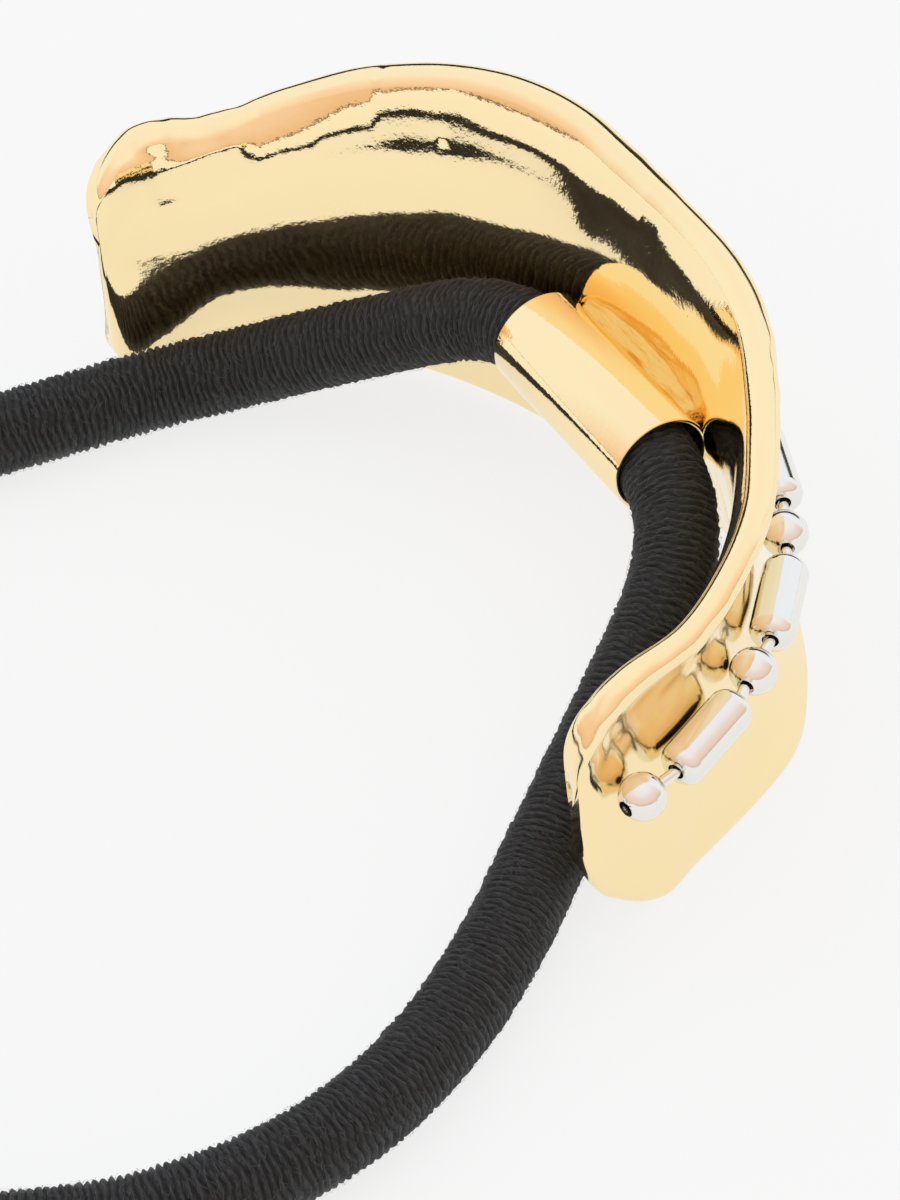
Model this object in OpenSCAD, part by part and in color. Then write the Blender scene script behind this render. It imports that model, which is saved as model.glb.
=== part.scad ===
// Hair tie: a curved cast cuff that stands on its lower edge, with a ball-and-bar chain across its
// outer face and a loop of thick wound elastic held in a sleeve on its inner face.
// Millimetres. +Z is up, the cuff's outer face looks towards -Y and the loop lies towards +Y.

/* [Cuff] */
// Radius of the cuff's middle stretch, seen from above
mid_radius = 28; // [26:0.5:32]
// Turn of the middle stretch, to each side of the centre, in degrees
mid_turn = 28; // [24:1:32]
// Radius of the two side stretches
side_radius = 22; // [20:0.5:26]
// Wall thickness away from the edges
wall = 1.3; // [1.1:0.05:1.6]
// Thickness of the lower edge
edge = 1.5; // [1.3:0.05:1.8]

/* [Sleeve] */
// Outer diameter of the sleeve
sleeve_d = 5.4; // [5.2:0.1:5.8]
// Length of the sleeve
sleeve_len = 11.8; // [10:0.2:14]
// Wall of the sleeve
sleeve_wall = 0.25; // [0.2:0.05:0.3]
// Height of the sleeve's axis above the surface that the cuff stands on
sleeve_z = 8.5; // [8:0.1:9]

/* [Elastic] */
// Diameter of the elastic
elastic_d = 4.4; // [4:0.1:4.5]

/* [Chain] */
// Distance from one ball to the next, along the cuff
pitch = 9.1; // [8.9:0.1:9.2]
// Diameter of a ball
ball_d = 2.35; // [2.2:0.05:2.4]
// Diameter of a barrel
barrel_d = 2.3; // [2.2:0.05:2.4]
// Length of a barrel
barrel_len = 5.3; // [5:0.1:5.4]
// Wall of the hollow balls and barrels
bead_wall = 0.25; // [0.2:0.05:0.3]
// Diameter of the pins that join them
pin_d = 0.56; // [0.5:0.02:0.6]
// Diameter of the pins' flat heads
head_d = 1.1; // [1:0.05:1.15]
// Height of the chain above the surface
chain_z = 9.25; // [9:0.05:9.5]
// Gap between the beads and the cuff
bead_gap = 0.06; // [0.04:0.01:0.1]

/* [Hidden] */
$fn = 48;

// Place of the sleeve's axis and of the cuff's outer face at its middle
sleeve_y = -4.5;
face_y = -8.9;

// The cuff's edges, from the -X end to the +X end. Each row is a place along the cuff:
// [arc length from the middle, lower edge's height, rim's height,
//  outward lean of the lower edge, outward lean of the rim, thickness of the rim,
//  inward swelling of the lower edge]
edges = [
    [-35.1, 0.9, 15.7, -0.6, 0.7, 1.7, 0.0],
    [-31.0, 0.1, 16.1,  0.3, 1.1, 1.6, 0.0],
    [-28.0, 0.0, 16.4,  0.2, 2.0, 1.5, 0.0],
    [-24.0, 0.0, 17.0,  1.0, 2.1, 1.5, 0.0],
    [-20.0, 0.0, 17.4,  2.1, 2.0, 1.6, 0.0],
    [-16.0, 0.0, 17.8,  2.1, 1.7, 1.8, 0.0],
    [-12.0, 0.0, 18.0,  2.0, 1.9, 1.9, 0.0],
    [ -8.0, 0.0, 18.3,  1.9, 2.4, 1.9, 0.0],
    [ -4.0, 0.0, 18.7,  1.5, 2.3, 1.9, 0.0],
    [  0.0, 0.0, 18.9,  0.8, 2.0, 1.9, 0.0],
    [  4.0, 0.0, 19.2,  0.0, 2.3, 2.2, 0.0],
    [  8.0, 0.0, 19.6, -0.7, 2.9, 2.4, 0.0],
    [ 12.0, 0.0, 19.7, -0.6, 2.9, 2.4, 0.0],
    [ 16.0, 0.2, 19.2, -0.4, 2.7, 2.4, 0.0],
    [ 20.0, 0.4, 18.3,  0.2, 2.5, 2.4, 0.0],
    [ 24.0, 1.1, 16.8,  1.1, 2.6, 2.4, 0.1],
    [ 28.0, 1.1, 15.5,  1.9, 2.7, 2.6, 0.4],
    [ 31.0, 0.7, 15.8,  2.0, 2.5, 2.6, 1.0],
    [ 34.7, 0.2, 15.4,  2.1, 2.3, 2.6, 1.6]
];
LOW = 1;
TOP = 2;
LOW_OUT = 3;
TOP_OUT = 4;
RIM = 5;
SWELL = 6;
first_s = edges[0][0];
last_s = edges[len(edges) - 1][0];

// Corner radii: [rim corner, lower corner] at the -X end and at the +X end
corners = [[4.2, 5.0], [3.6, 2.4]];
// Length over which the rim and the lower edge swell out of the wall
rim_swell = 4;
edge_swell = 2.5;
// Height over which the inner face swells out to the lower edge near the +X end
swell_reach = 8;
// How sharply the wall bends outwards towards the rim and towards the lower edge
rim_bend = 3;
edge_bend = 2;
// Length of the rounding at the -X end and at the +X end, and how thin the end faces are
end_round = [0.6, 2.0];
end_face = [0.75, 2.1];

// Rings along the cuff, and points along a face and round an edge of each ring
cuff_rings = 52;
face_points = 7;
cap_points = 5;
// Places of the close rings at the two ends, and the height step for the wall's slope
end_steps = [0, 0.25, 0.6, 1.2, 2, 3];
tilt_step = 0.05;

// Route of the elastic's centre line, starting in the sleeve and going round the loop
sleeve_in = [for (x = [-4.6, -2.3, 0, 2.3, 4.6]) [x, sleeve_y, sleeve_z]];
route = concat(sleeve_in, [
    [7.0, -4.1, 8.4], [9.3, -3.2, 7.9], [11.2, -1.8, 7.1], [13.3, 0.1, 5.9], [16.2, 3.3, 4.3],
    [18.6, 6.5, 3.0], [20.5, 10.5, 2.3], [21.5, 14.7, 2.2], [22.4, 19.2, 2.2], [23.4, 24.0, 2.2],
    [24.1, 29.0, 2.2], [24.1, 34.5, 2.2], [23.1, 40.0, 2.2], [20.9, 45.5, 2.2], [17.4, 50.5, 2.2],
    [12.4, 54.8, 2.2], [6.0, 57.8, 2.2], [-1.0, 58.8, 2.2], [-8.0, 57.8, 2.2], [-14.5, 55.1, 2.2],
    [-20.3, 50.9, 2.2], [-24.8, 46.1, 2.2], [-27.7, 41.2, 2.2], [-29.3, 36.5, 2.2],
    [-29.8, 31.2, 2.2], [-29.1, 26.2, 2.2], [-27.1, 21.2, 2.2], [-24.0, 16.2, 2.3],
    [-20.3, 11.3, 2.8], [-16.9, 6.3, 4.1], [-14.0, 1.7, 5.8], [-12.6, -0.3, 6.6],
    [-11.0, -2.0, 7.3], [-9.1, -3.3, 8.0], [-7.0, -4.1, 8.4]
]);
elastic_sides = 10;
elastic_steps = 2;
// Distance, in steps of the route, over which the tube's direction is taken
direction_step = 0.02;

// Number of balls, and where the first one stands along the cuff
balls = 8;
chain_start = -32.5;
// Rounding of the barrels' ends
barrel_round = 0.7;
// Thickness of the pins' heads, and where a pin starts inside its ball
head_len = 0.25;
pin_start = 0.42;
// Clearances in the chain: of a pin in its hole, and of its head behind the wall
hole_play = 0.14;
head_play = 0.22;
hole_r = pin_d / 2 + hole_play;

// How far the solder reaches along the sleeve, and up and down inside the wall behind it
solder_len = sleeve_len - 0.6;
solder_half = 2.6;
// Where the solder ends on the sleeve, across and up, as shares of the sleeve's diameter
solder_out = 0.4;
solder_up = 0.3;

// Value of a table's column at s, on a smooth curve through its rows
function slope(t, i, c) =
    let (a = max(i - 1, 0), b = min(i + 1, len(t) - 1)) (t[b][c] - t[a][c]) / (t[b][0] - t[a][0]);
function row_of(t, s, i = 0) = i >= len(t) - 2 || s < t[i + 1][0] ? i : row_of(t, s, i + 1);
function hermite(p, q, m, n, u) =
    (2 * u ^ 3 - 3 * u ^ 2 + 1) * p + (u ^ 3 - 2 * u ^ 2 + u) * m
    + (3 * u ^ 2 - 2 * u ^ 3) * q + (u ^ 3 - u ^ 2) * n;
function at(t, s, c) =
    let (i = row_of(t, s), w = t[i + 1][0] - t[i][0])
    hermite(t[i][c], t[i + 1][c], w * slope(t, i, c), w * slope(t, i + 1, c), (s - t[i][0]) / w);
function ease(u) = let (v = min(max(u, 0), 1)) v * v * (3 - 2 * v);

// The cuff's line seen from above, at the chain's height: heading and point for an arc length s
mid_len = mid_radius * mid_turn * PI / 180;
function heading(s) =
    sign(s) * (abs(s) < mid_len
        ? abs(s) / mid_radius * 180 / PI
        : mid_turn + (abs(s) - mid_len) / side_radius * 180 / PI);
function side_x(h) =
    abs(h) <= mid_turn
    ? mid_radius * sin(h)
    : sign(h) * ((mid_radius - side_radius) * sin(mid_turn) + side_radius * sin(abs(h)));
function side_y(h) =
    abs(h) <= mid_turn
    ? mid_radius * (1 - cos(h))
    : mid_radius - (mid_radius - side_radius) * cos(mid_turn) - side_radius * cos(h);
// Point at arc length s, moved outwards by out
function place(s, out, z) =
    let (h = heading(s)) [side_x(h) + out * sin(h), face_y + side_y(h) - out * cos(h), z];

// One ring: the section of the plate at arc length s, as [outward, height] points
function from_end(s) = s < 0 ? s - first_s : last_s - s;
function corner_cut(s, edge_no) =
    let (r = corners[s < 0 ? 0 : 1][edge_no], d = from_end(s)) d >= r ? 0 : r - sqrt(r ^ 2 - (r - d) ^ 2);
function low_z(s) = at(edges, s, LOW) + corner_cut(s, 1);
function top_z(s) = at(edges, s, TOP) - corner_cut(s, 0);
function thin(s) =
    let (k = s < 0 ? 0 : 1, inside = max(end_round[k] - from_end(s), 0)) sqrt(1 - (inside / end_face[k]) ^ 2);
// Outward lean of the wall at height z, and how far it swells inwards there
function lean(s, z) =
    z > chain_z
    ? at(edges, s, TOP_OUT) * ((z - chain_z) / (at(edges, s, TOP) - chain_z)) ^ rim_bend
    : at(edges, s, LOW_OUT) * ((chain_z - z) / (chain_z - at(edges, s, LOW))) ^ edge_bend;
function swell(s, z) = thin(s) * at(edges, s, SWELL) * ease((low_z(s) + swell_reach - z) / swell_reach);
// Middle of the wall at height z, as a place outwards of the outer face, and its slope
function centre(s, z) = lean(s, z) - wall / 2 - swell(s, z) / 2;
function tilt(s, z) = (centre(s, z + tilt_step) - centre(s, z - tilt_step)) / (2 * tilt_step);
function thick(s, z) =
    swell(s, z) + thin(s) * (wall
        + (at(edges, s, RIM) - wall) * ease((z - top_z(s) + rim_swell) / rim_swell)
        + (edge - wall) * ease((low_z(s) + edge_swell - z) / edge_swell));
// Point beside the middle of the wall: angle 0 is outwards, 90 is up along the wall
function beside(s, z, angle) =
    let (k = tilt(s, z), n = norm([1, k]), r = thick(s, z) / 2, a = cos(angle) * r, b = sin(angle) * r)
    [centre(s, z) + (a + k * b) / n, z + (b - k * a) / n];
function section(s) =
    let (
        low = low_z(s) + thin(s) * (edge + at(edges, s, SWELL)) / 2,
        top = top_z(s) - thin(s) * at(edges, s, RIM) / 2,
        step = (top - low) / face_points
    )
    concat(
        [for (i = [0 : face_points]) beside(s, low + i * step, 180)],
        [for (i = [1 : cap_points - 1]) beside(s, top, 180 - 180 * i / cap_points)],
        [for (i = [0 : face_points]) beside(s, top - i * step, 0)],
        [for (i = [1 : cap_points - 1]) beside(s, low, -180 * i / cap_points)]
    );
function ring(s) = [for (p = section(s)) place(s, p[0], p[1])];
// Arc lengths of the rings, closer together in the rounded ends
last_step = len(end_steps) - 1;
even_from = first_s + end_steps[last_step];
even_to = last_s - end_steps[last_step];
ring_places = concat(
    [for (d = end_steps) first_s + d],
    [for (i = [1 : cuff_rings - 1]) even_from + i * (even_to - even_from) / cuff_rings],
    [for (i = [last_step : -1 : 0]) last_s - end_steps[i]]
);

// Closed mesh through rings of n points each: open ones get end faces, looped ones join up
module skin(rings, looped = false) {
    n = len(rings[0]);
    count = len(rings);
    sides = [for (i = [0 : count - (looped ? 1 : 2)]) for (j = [0 : n - 1])
        let (k = (j + 1) % n, a = i * n, b = (i + 1) % count * n) [a + j, b + j, b + k, a + k]];
    ends = looped ? [] : [
        [for (j = [0 : n - 1]) j],
        [for (j = [n - 1 : -1 : 0]) (count - 1) * n + j]
    ];
    polyhedron([for (r = rings) for (p = r) p], concat(sides, ends), convexity = 8);
}

module plate() {
    skin([for (s = ring_places) ring(s)]);
}

// Tube's outside and the solder that fills the wedge between it and the wall
module sleeve_body() {
    translate([0, sleeve_y, sleeve_z]) rotate([0, 90, 0])
        cylinder(d = sleeve_d, h = sleeve_len, center = true);
    translate([-solder_len / 2, 0, sleeve_z]) rotate([90, 0, 90]) linear_extrude(solder_len)
        polygon([
            [face_y + wall / 2, -solder_half],
            [sleeve_y - sleeve_d * solder_out, -sleeve_d * solder_up],
            [sleeve_y - sleeve_d * solder_out, sleeve_d * solder_up],
            [face_y + wall / 2, solder_half]
        ]);
}

module cuff() color("gold") difference() {
    union() {
        plate();
        sleeve_body();
    }
    translate([0, sleeve_y, sleeve_z]) rotate([0, 90, 0])
        cylinder(d = sleeve_d - 2 * sleeve_wall, h = sleeve_len + 2, center = true);
}

// Elastic: a closed tube along a smooth curve through the route's points
function route_at(i) = route[(i + len(route)) % len(route)];
function route_point(i, u) =
    hermite(route_at(i), route_at(i + 1), (route_at(i + 1) - route_at(i - 1)) / 2,
        (route_at(i + 2) - route_at(i)) / 2, u);
function unit(v) = v / norm(v);
function tube_ring(p, q, r) =
    let (t = unit(q - p), side = unit(cross([0, 0, 1], t)), up = cross(t, side))
    [for (j = [0 : elastic_sides - 1])
        let (a = 360 * (j + 0.5) / elastic_sides) (p + q) / 2 + r * (cos(a) * side + sin(a) * up)];
module elastic() color([0.08, 0.08, 0.09]) skin([
    for (i = [0 : len(route) - 1]) for (k = [0 : elastic_steps - 1])
        let (u = k / elastic_steps)
        tube_ring(route_point(i, u - direction_step), route_point(i, u + direction_step), elastic_d / 2)
], looped = true);

// Chain: the balls stand pitch apart along the cuff, a barrel halfway between each two
function ball_s(i) = chain_start + (i - 1) * pitch;
function barrel_s(i) = ball_s(i) + pitch / 2;
function bead_place(s, d) = place(s, d / 2 + bead_gap, chain_z);
function along(s) = let (h = heading(s)) [cos(h), sin(h), 0];
function ball_centre(i) = bead_place(ball_s(i), ball_d);
function barrel_end(i, way) =
    bead_place(barrel_s(i), barrel_d) + way * barrel_len / 2 * along(barrel_s(i));
// Direction in which the pin before (-1) or after (1) ball i leaves it
// An end ball's free hole looks along the cuff
function pin_way(i, way) =
    way < 0 && i == 1 ? -along(ball_s(i))
    : way > 0 && i == balls ? along(ball_s(i))
    : way < 0 ? unit(barrel_end(i - 1, 1) - ball_centre(i))
    : unit(barrel_end(i, -1) - ball_centre(i));

// Turns +Z to the level direction v
module face_to(v) rotate([0, 90, atan2(v[1], v[0])]) children();

module ball(i) color("silver") translate(ball_centre(i)) difference() {
    rotate([0, 0, heading(ball_s(i)) - 90]) difference() {
        sphere(d = ball_d);
        sphere(d = ball_d - 2 * bead_wall);
    }
    for (way = [-1, 1]) face_to(pin_way(i, way)) cylinder(r = hole_r, h = ball_d);
}

// Rod of radius r and length l along Z, with its ends rounded by round_r
module rod(r, l, round_r) rotate_extrude() intersection() {
    union() {
        translate([0, -l / 2 + round_r]) square([r, l - 2 * round_r]);
        translate([0, -l / 2]) square([r - round_r, l]);
        for (way = [-1, 1]) translate([r - round_r, way * (l / 2 - round_r)]) circle(round_r);
    }
    translate([0, -l]) square([r, 2 * l]);
}

module barrel(i) color("silver")
    translate(bead_place(barrel_s(i), barrel_d)) face_to(along(barrel_s(i))) difference() {
        rod(barrel_d / 2, barrel_len, barrel_round);
        rod(barrel_d / 2 - bead_wall, barrel_len - 2 * bead_wall, barrel_round - bead_wall);
        cylinder(r = hole_r, h = 2 * barrel_len, center = true);
    }

// Pin n joins a ball to a barrel: its heads sit behind their walls
module pin(n) color("silver") {
    i = floor((n + 2) / 2);
    way = n % 2 == 1 ? 1 : -1;
    centre = ball_centre(i);
    reach = norm(barrel_end(i - (way < 0 ? 1 : 0), -way) - centre) + bead_wall + head_play;
    translate(centre) face_to(pin_way(i, way)) {
        translate([0, 0, pin_start]) cylinder(d = pin_d, h = reach + head_len - pin_start);
        translate([0, 0, pin_start]) cylinder(d = head_d, h = head_len);
        translate([0, 0, reach]) cylinder(d = head_d, h = head_len);
    }
}

cuff();
elastic();
for (i = [1 : balls]) ball(i);
for (i = [1 : balls - 1]) barrel(i);
for (n = [1 : 2 * (balls - 1)]) pin(n);
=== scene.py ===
"""Hair tie: a polished cast cuff with a ball-and-bar chain, on a loop of yarn-covered elastic.

Everything is in metres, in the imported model's frame: +Z up, the cuff's outer face towards -Y,
the elastic's loop towards +Y, and the origin under the middle of the cuff.
"""
import math

import bpy
import numpy as np
from mathutils import Matrix, Vector


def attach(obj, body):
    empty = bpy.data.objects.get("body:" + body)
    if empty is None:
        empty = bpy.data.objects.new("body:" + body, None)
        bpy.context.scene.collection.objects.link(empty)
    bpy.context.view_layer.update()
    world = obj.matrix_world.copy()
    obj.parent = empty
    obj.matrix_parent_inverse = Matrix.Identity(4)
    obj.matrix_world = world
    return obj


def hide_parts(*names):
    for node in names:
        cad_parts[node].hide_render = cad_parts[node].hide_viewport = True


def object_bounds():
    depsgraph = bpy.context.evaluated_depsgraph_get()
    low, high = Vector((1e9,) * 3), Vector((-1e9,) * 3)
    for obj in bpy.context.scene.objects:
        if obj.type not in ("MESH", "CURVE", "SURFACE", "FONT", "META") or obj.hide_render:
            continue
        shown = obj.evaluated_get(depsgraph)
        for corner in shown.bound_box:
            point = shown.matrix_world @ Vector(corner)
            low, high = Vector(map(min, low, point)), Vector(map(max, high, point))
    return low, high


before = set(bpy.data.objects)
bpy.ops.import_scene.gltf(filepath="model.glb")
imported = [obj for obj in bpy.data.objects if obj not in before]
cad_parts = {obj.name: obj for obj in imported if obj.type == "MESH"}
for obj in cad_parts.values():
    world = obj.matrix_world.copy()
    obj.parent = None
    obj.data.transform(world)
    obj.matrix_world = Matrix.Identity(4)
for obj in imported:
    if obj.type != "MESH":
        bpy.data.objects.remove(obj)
cad_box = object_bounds()

# Camera: the point at the middle of the photograph, and the view onto it
LOOK_AT = Vector((-0.0017, 0.0059, 0.0018))
VIEW_AZIMUTH = math.radians(244.65)
VIEW_ELEVATION = math.radians(43.59)
VIEW_ROLL = math.radians(7.15)
VIEW_DISTANCE = 0.315
SENSOR_HEIGHT = 36.0
LENS = 5.25 * SENSOR_HEIGHT

# Surroundings: the way away from the camera, and the colours of the room at each height, where 1
# is straight up and 0 the horizon, on the camera's side and behind the cuff
FAR_WAY = (0.904, -0.428, 0.0)
SKY_STRENGTH = 1.0
NEAR_SKY = [
    (0.0, (0.20, 0.13, 0.09)), (0.012, (0.20, 0.13, 0.09)), (0.020, (0.85, 0.60, 0.43)),
    (0.25, (0.93, 0.72, 0.62)), (0.55, (0.96, 0.79, 0.72)), (0.80, (0.98, 0.93, 0.93)),
    (1.0, (1.0, 0.98, 1.0)),
]
FAR_SKY = [
    (0.0, (0.03, 0.025, 0.02)), (0.006, (0.97, 1.0, 1.04)), (0.10, (0.97, 1.0, 1.06)),
    (0.60, (0.97, 1.0, 1.06)), (0.85, (0.98, 0.97, 1.02)), (1.0, (1.0, 0.98, 1.0)),
]
# How much higher the dark far end of the room reaches straight behind the cuff. For this line and
# for the far side's colours: how far along FAR_WAY a direction points where they begin and are full
FAR_LINE = 0.30
FAR_LINE_EDGE = (0.6, 0.85)
FAR_SIDE_EDGE = (-0.05, 0.35)
# Floor: half its width, and how far it lies below the model
FLOOR_HALF = 3.0
FLOOR_GAP = 0.00005

# Noise: length of its table, the factors that mix a cell's place, a shift that keeps cells above 0,
# and the detail of the shaders' noise
NOISE_TABLE = 4096
NOISE_FACTORS = (73856093, 19349663, 83492791)
NOISE_SHIFT = 1000.0
NOISE_DETAIL = 3.0
# Seeds of the ribs' sway, the yarn, the loose fibres, the casting, its corner, its ripples and the
# solder
SWAY_SEED, YARN_SEED, FUZZ_SEED = 3, 4, 7
CAST_SEED, CORNER_SEED, RIPPLE_SEED, SOLDER_SEED = 11, 14, 16, 21

# Elastic and sleeve
ELASTIC_RADIUS = 0.0022
SLEEVE_X = (-0.0046, -0.0023, 0.0, 0.0023, 0.0046)
SLEEVE_Y = -0.0045
SLEEVE_Z = 0.0085
SLEEVE_RADIUS = 0.0027
SLEEVE_LENGTH = 0.0118
SLEEVE_WALL = 0.00025
SLEEVE_SIDES = 120
LIP_POINTS = 7
# Solder: its ends along the sleeve and how far they taper
SOLDER = (-0.0056, 0.0060)
SOLDER_TAPER = 0.0012
# How many degrees it reaches round the sleeve each way and how far up and down the wall; at its
# ends, the share of that angle and the reach that are left
SOLDER_ANGLE = 68.0
SOLDER_REACH = 0.0023
SOLDER_END_ANGLE = 0.35
SOLDER_END_REACH = 0.0008
# How far its slopes sag and how deep it sits in the wall
SOLDER_SAG = 0.00080
SOLDER_SINK = 0.0003
# Its sections, and the points of each one round the sleeve, on each slope and along the wall
SOLDER_RINGS = 150
SOLDER_ROUND, SOLDER_SLOPE, SOLDER_FOOT = 30, 24, 12
# Its lumps: height, size, and what their size along X is divided by
SOLDER_LUMPS = [(0.00020, 0.0005, 0.3), (0.00016, 0.0012, 1.0)]
# Its streaks, in steps a metre along X, Y and Z
SOLDER_GRAIN = (700.0, 3500.0, 3500.0)
# Middle of the elastic: straight through the sleeve, then round the loop
ROUTE = [(x, SLEEVE_Y, SLEEVE_Z) for x in SLEEVE_X] + [
    (0.0070, -0.0041, 0.0084), (0.0093, -0.0032, 0.0079), (0.0112, -0.0018, 0.0071),
    (0.0133, 0.0001, 0.0059), (0.0162, 0.0033, 0.0043), (0.0186, 0.0065, 0.0030),
    (0.0205, 0.0105, 0.0023), (0.0215, 0.0147, 0.0022), (0.0224, 0.0192, 0.0022),
    (0.0234, 0.0240, 0.0022), (0.0241, 0.0290, 0.0022), (0.0241, 0.0345, 0.0022),
    (0.0231, 0.0400, 0.0022), (0.0209, 0.0455, 0.0022), (0.0174, 0.0505, 0.0022),
    (0.0124, 0.0548, 0.0022), (0.0060, 0.0578, 0.0022), (-0.0010, 0.0588, 0.0022),
    (-0.0080, 0.0578, 0.0022), (-0.0145, 0.0551, 0.0022), (-0.0203, 0.0509, 0.0022),
    (-0.0248, 0.0461, 0.0022), (-0.0277, 0.0412, 0.0022), (-0.0293, 0.0365, 0.0022),
    (-0.0298, 0.0312, 0.0022), (-0.0291, 0.0262, 0.0022), (-0.0271, 0.0212, 0.0022),
    (-0.0240, 0.0162, 0.0023), (-0.0203, 0.0113, 0.0028), (-0.0169, 0.0063, 0.0041),
    (-0.0140, 0.0017, 0.0058), (-0.0126, -0.0003, 0.0066), (-0.0110, -0.0020, 0.0073),
    (-0.0091, -0.0033, 0.0080), (-0.0070, -0.0041, 0.0084),
]
# Points of the curve for each stretch of the route
ROUTE_STEPS = 40
RIB_PITCH = 0.00040
RIB_HEIGHT = 0.00026
# Waves of the ribs round the cover, how far each goes there and back and how far they sway, in rib
# pitches, the size of the sway, and the power that makes the ribs full
RIB_WAVES = 7
RIB_WAVE = 0.7
RIB_SWAY = 0.55
RIB_SWAY_SIZE = 0.0011
RIB_POWER = 0.8
# Lumps of the yarn: height as a share of the ribs' height, and size
YARN_LUMP = 0.3
YARN_LUMP_SIZE = 0.00030
# Grain of the yarn, along and round the cover, in steps a metre
FIBRE_GRAIN = (14000.0, 1800.0, 1.0)
# Loose fibres: number, the length and lift that the shares below are taken of, width at the root,
# and steps of each ribbon
FIBRES = 15000
FIBRE_LENGTH = 0.0006
FIBRE_LIFT = 0.00018
FIBRE_WIDTH = 0.000024
FIBRE_STEPS = 3
# Shares of the length and the lift that a fibre may have, how much it narrows to its tip, and the
# start and span of its arch in half waves
FIBRE_LENGTHS = (0.25, 1.0)
FIBRE_LIFTS = (0.05, 0.42)
FIBRE_TAPER = 0.6
FIBRE_ARCH = (0.15, 0.7)
# Spread of the fibres' ways in radians and of their curl, how deep their roots are in the cover, and
# the lowest height they may reach
FIBRE_TURN = 0.5
FIBRE_CURL = 0.45
FIBRE_ROOT = 0.00004
FIBRE_FLOOR = 0.00002
# Points of the elastic's line, and of its skin round each of them
ELASTIC_RINGS = 2796
ELASTIC_SIDES = 36

# Cuff: its line seen from above and its wall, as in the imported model
MID_RADIUS = 0.028
MID_TURN = math.radians(28)
SIDE_RADIUS = 0.022
FACE_Y = -0.0089
CHAIN_Z = 0.00925
WALL = 0.0013
EDGE = 0.0015
# Rows: place along the cuff, lower edge's height, rim's height, outward lean of the lower edge,
# outward lean of the rim, thickness of the rim, inward swelling of the lower edge
EDGES = np.array([
    (-0.0351, 0.0009, 0.0157, -0.0006, 0.0007, 0.0017, 0.0),
    (-0.0310, 0.0001, 0.0161, 0.0003, 0.0011, 0.0016, 0.0),
    (-0.0280, 0.0, 0.0164, 0.0002, 0.0020, 0.0015, 0.0),
    (-0.0240, 0.0, 0.0170, 0.0010, 0.0021, 0.0015, 0.0),
    (-0.0200, 0.0, 0.0174, 0.0021, 0.0020, 0.0016, 0.0),
    (-0.0160, 0.0, 0.0178, 0.0021, 0.0017, 0.0018, 0.0),
    (-0.0120, 0.0, 0.0180, 0.0020, 0.0019, 0.0019, 0.0),
    (-0.0080, 0.0, 0.0183, 0.0019, 0.0024, 0.0019, 0.0),
    (-0.0040, 0.0, 0.0187, 0.0015, 0.0023, 0.0019, 0.0),
    (0.0, 0.0, 0.0189, 0.0008, 0.0020, 0.0019, 0.0),
    (0.0040, 0.0, 0.0192, 0.0, 0.0023, 0.0022, 0.0),
    (0.0080, 0.0, 0.0196, -0.0007, 0.0029, 0.0024, 0.0),
    (0.0120, 0.0, 0.0197, -0.0006, 0.0029, 0.0024, 0.0),
    (0.0160, 0.0002, 0.0192, -0.0004, 0.0027, 0.0024, 0.0),
    (0.0200, 0.0004, 0.0183, 0.0002, 0.0025, 0.0024, 0.0),
    (0.0240, 0.0011, 0.0168, 0.0011, 0.0026, 0.0024, 0.0001),
    (0.0280, 0.0011, 0.0155, 0.0019, 0.0027, 0.0026, 0.0004),
    (0.0310, 0.0007, 0.0158, 0.0020, 0.0025, 0.0026, 0.0010),
    (0.0347, 0.0002, 0.0154, 0.0021, 0.0023, 0.0026, 0.0016),
])
LOW, TOP, LOW_OUT, TOP_OUT, RIM, SWELL = range(1, 7)
FIRST_S, LAST_S = EDGES[0, 0], EDGES[-1, 0]
# Corner radii: rim corner and lower corner, at the -X end and at the +X end
CORNERS = ((0.0042, 0.0050), (0.0036, 0.0024))
# Heights over which the rim and the lower edge thicken, and over which the inward swelling fades
RIM_SWELL = 0.0040
EDGE_SWELL = 0.0025
SWELL_REACH = 0.0080
# Powers with which the leans of the rim and of the lower edge grow away from the chain
RIM_BEND = 3
EDGE_BEND = 2
# Rounded ends, at the -X end and at the +X end: their length, and the half axis of the ellipse that
# thins them, which is a little longer and so leaves a narrow end face
END_ROUND = (0.0006, 0.0020)
END_FACE = (0.00075, 0.0021)
# Creases under the rim: place along the cuff, height, and how much more the inner face slopes
# outwards below and above them
FACETS = np.array([
    (0.0000, 0.0160, 0.00, 0.00),
    (0.0014, 0.0166, -0.05, 0.02),
    (0.0040, 0.0167, -0.07, 0.04),
    (0.0088, 0.0167, -0.07, 0.04),
    (0.0120, 0.0166, -0.05, 0.04),
    (0.0145, 0.0165, -0.01, 0.00),
    (0.0150, 0.0162, 0.00, 0.00),
    (0.0187, 0.0157, 0.00, 0.01),
    (0.0193, 0.0151, 0.00, 0.07),
    (0.0220, 0.0144, 0.00, 0.075),
    (0.0225, 0.0138, 0.00, 0.07),
    (0.0254, 0.0130, 0.00, 0.07),
    (0.0257, 0.0128, 0.00, 0.00),
])
# Heights over which a crease turns, acts above its place, acts below it, and fades out, and the
# steps in which its slopes are added up
FACET_START = 0.0007
FACET_RUN = 0.0016
FACET_BELOW = 0.0024
FACET_FADE = 0.0010
FACET_STEPS = 160
# Dents of the inner face: place along the cuff, height, radius and depth, which is below 0
INNER_DENTS = [
    (0.0152, 0.0158, 0.0003, -0.00004),
    (0.0235, 0.0070, 0.0024, -0.00008),
]
# Corner under the rim near the +X end, where the inner face flares more evenly: place along the
# cuff, and the heights where this starts and stops
FLARE = np.array([
    (0.0256, 0.0124, 0.0141),
    (0.0275, 0.0120, 0.0138),
    (0.0292, 0.0118, 0.0135),
    (0.0306, 0.0116, 0.0133),
    (0.0318, 0.0115, 0.0130),
])
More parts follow.
